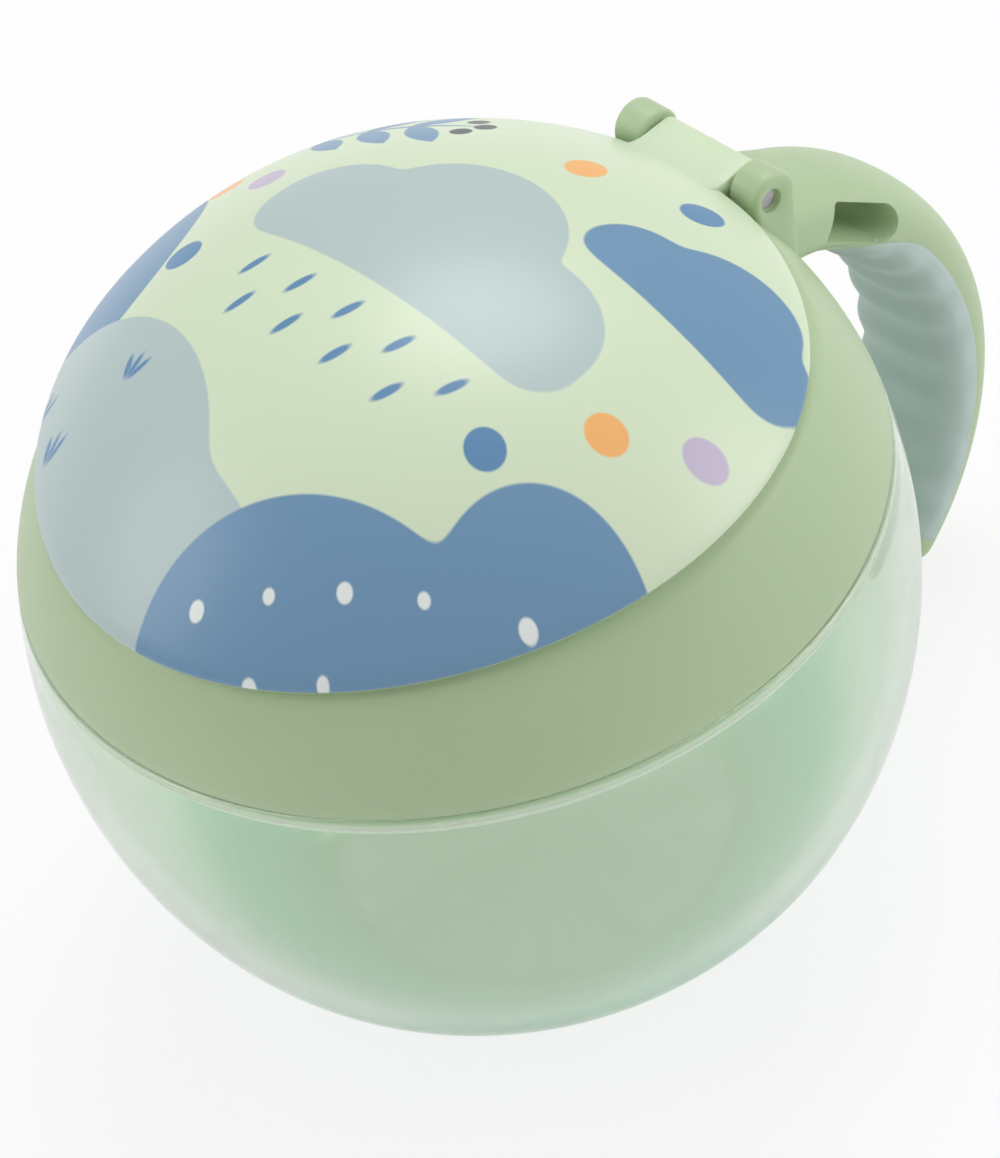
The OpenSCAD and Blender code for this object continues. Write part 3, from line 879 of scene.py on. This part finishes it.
def build_grip():
    """The soft inlay on the inner side: it runs up under the slot, with soft ribs across it."""
    end = math.radians(-51.5)
    steps, across = 260, 60
    pitch, first_rib = math.radians(12.4), math.radians(1.1)
    sunk_edge, skin_lift, rib_lift, depth = -0.35, 0.5, 0.6, -0.75

    def span(a):
        """Half the arc that the inlay covers, wider towards the free end."""
        low = min(1.0, max(0.0, (20 - math.degrees(a)) / 60))
        return math.radians(94 + 7 * low)

    def rib(a):
        return 0.5 - 0.5 * math.cos(TURN * (a - first_rib) / pitch)

    columns = []
    for j in range(across + 1):
        place = math.cos(math.pi * j / across)
        start = math.radians(26 + 30 * math.sqrt(1 - place * place))
        from_side = math.radians(95) * (1 - abs(place))
        side_round = quarter_sine(from_side / math.radians(7))
        fade = smooth(from_side / math.radians(26))
        outer, inner = [], []
        for a in spread(start, end, steps):
            phi = math.pi - span(a) * place
            from_end = min(abs(a - start), abs(a - end))
            end_round = quarter_sine(from_end / math.radians(2.2))
            calm = min(1.0, from_end / math.radians(9))
            lift = sunk_edge + skin_lift * min(side_round, end_round) + rib_lift * rib(a) * fade * calm
            outer.append(arm_point(a, 1.0, phi, lift))
            inner.append(arm_point(a, 1.0, phi, depth))
        columns.append(outer + inner[::-1])
    n = len(columns[0])
    verts, faces = skin(columns, closed_rings=False)
    for first in (0, across * n):
        faces += [(first + i, first + i + 1, first + n - 2 - i, first + n - 1 - i) for i in range(steps)]
    make_object("grip_inlay", verts, faces, GRIP, "collar", "grip_rubber", ["handle_grip"])


build_bowl()
build_collar()
build_dome()
build_film()
build_knuckle()
build_arm()
build_grip()

# ---------------------------------------------------------------- CAD nodes that stay
CAD_LOOKS = {"seal_ring": SEAL, "flap_ring": FLAPS, "flap_clamp_ring": SAGE,
             "lid_inner_cover": PALE, "hinge_pin": STEEL}
CAD_LOOKS.update(("flap_petal_%d" % number, FLAPS) for number in range(1, 9))
for name, material in CAD_LOOKS.items():
    nodes[name].data.materials.clear()
    nodes[name].data.materials.append(material)


# ---------------------------------------------------------------- studio
def build_stage():
    """A floor of white paper, to the camera mostly glow, so that it is as white as the background."""
    half = 3.0
    mesh = bpy.data.meshes.new("floor")
    mesh.from_pydata([(-half, -half, 0), (half, -half, 0), (half, half, 0), (-half, half, 0)],
                     [], [(0, 1, 2, 3)])
    add_object("floor", mesh)
    m = Nodes("floor_paper")
    m.sets(Roughness=0.9, Specular_IOR_Level=0.1)
    m.feed("Base Color", (0.95, 0.95, 0.95, 1.0))
    glow = m.add("ShaderNodeEmission")
    glow.inputs["Color"].default_value = (1, 1, 1, 1)
    glow.inputs["Strength"].default_value = 1.0
    ray = m.add("ShaderNodeLightPath").outputs
    through = m.math("MAXIMUM", ray["Is Glossy Ray"], ray["Is Transmission Ray"])
    seen = m.math("MAXIMUM", m.math("MULTIPLY", ray["Is Camera Ray"], 0.8),
                  m.math("MULTIPLY", through, 0.56))
    m.blend(seen, glow)
    mesh.materials.append(m.material)


def area_lamp(name, place, size, power):
    """A round lamp turned to a point over the bowl's base; place and size are in metres."""
    data = bpy.data.lights.new(name, "AREA")
    data.shape, data.size, data.energy = "DISK", size, power
    lamp = add_object(name, data)
    lamp.location = place
    target = Vector((0, 0, 0.05))
    lamp.rotation_euler = (target - Vector(place)).to_track_quat("-Z", "Y").to_euler()


def build_world():
    """A white room: full white where it is looked at, half as strong as a light."""
    world = bpy.data.worlds.new("studio")
    world.use_nodes = True
    tree = world.node_tree
    background = tree.nodes["Background"]
    path = tree.nodes.new("ShaderNodeLightPath")
    total = tree.nodes.new("ShaderNodeMath")
    total.operation = "MAXIMUM"
    tree.links.new(path.outputs["Is Camera Ray"], total.inputs[0])
    tree.links.new(path.outputs["Is Transmission Ray"], total.inputs[1])
    level = tree.nodes.new("ShaderNodeMapRange")
    level.inputs["To Min"].default_value = 0.5
    level.inputs["To Max"].default_value = 1.0
    tree.links.new(total.outputs[0], level.inputs["Value"])
    tree.links.new(level.outputs[0], background.inputs["Strength"])
    background.inputs["Color"].default_value = (1, 1, 1, 1)
    bpy.context.scene.world = world


def build_camera():
    """A long lens from the front right, high, and turned a little, fitted to the picture.

    Its distance was chosen: nearer ones fit the outlines better, but put the arm too low.
    """
    azimuth, elevation, roll = (math.radians(v) for v in (56.35, 42.82, -14.17))
    distance, focal_px, picture_h = 776.9, 6829.5, 1158
    target = Vector((0, 0, 48.56)) * MM
    back = Vector((math.sin(azimuth) * math.cos(elevation), -math.cos(azimuth) * math.cos(elevation),
                   math.sin(elevation)))
    right = Vector((math.cos(azimuth), math.sin(azimuth), 0))
    up = back.cross(right)
    side = right * math.cos(roll) + up * math.sin(roll)
    high = up * math.cos(roll) - right * math.sin(roll)
    data = bpy.data.cameras.new("camera")
    data.sensor_fit, data.sensor_height = "VERTICAL", 36.0
    data.lens = focal_px / picture_h * data.sensor_height
    data.shift_x, data.shift_y = 35.0 / picture_h, -30.0 / picture_h
    data.clip_start, data.clip_end = 0.01, 20.0
    camera = add_object("camera", data)
    camera.matrix_world = Matrix.Translation(target + back * distance * MM) @ Matrix(
        (side, high, back)).transposed().to_4x4()
    bpy.context.scene.camera = camera


build_stage()
build_world()
build_camera()
area_lamp("top", (-0.3, 0.5, 1.15), 0.7, 5.5)
area_lamp("left", (-0.75, -0.85, 0.7), 0.8, 3.5)
area_lamp("right", (0.85, 0.85, 0.6), 0.8, 4.0)
bpy.context.scene.view_settings.view_transform = "Standard"
